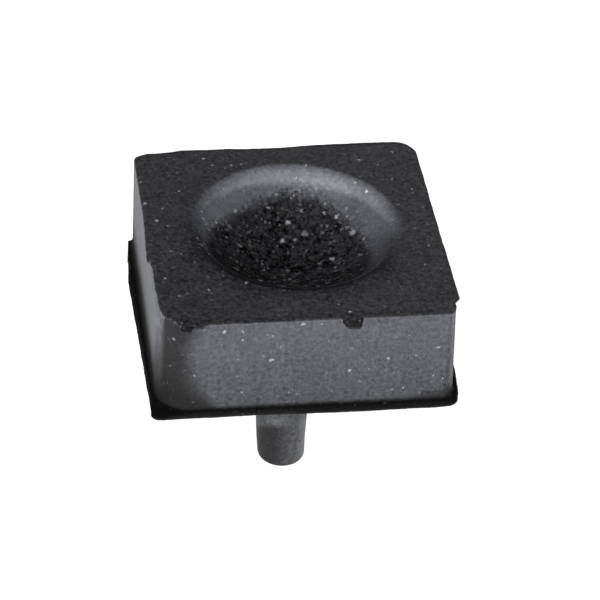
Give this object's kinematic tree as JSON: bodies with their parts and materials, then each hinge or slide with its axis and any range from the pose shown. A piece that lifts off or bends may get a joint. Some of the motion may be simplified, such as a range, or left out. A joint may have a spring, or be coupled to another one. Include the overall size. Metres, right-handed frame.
{
  "type": "rubber foot",
  "caption": "Square moulded rubber foot with a dished tread, a thin skirt round its seat and a push-in stem that holds it in a panel hole.",
  "frame": {"origin": "on the stem's axis, in the plane of the seat, where the stem leaves the block", "axes": "+Z along the stem's axis from its tip to the tread, X and Y square to the block's sides, -Y towards the front"},
  "size_m": [0.0218, 0.0222, 0.0206],
  "materials": {
    "black_rubber": "dull moulded black rubber with pale dust"
  },
  "bodies": {
    "root": {"rubber_foot": "black_rubber"}
  },
  "joints": []
}
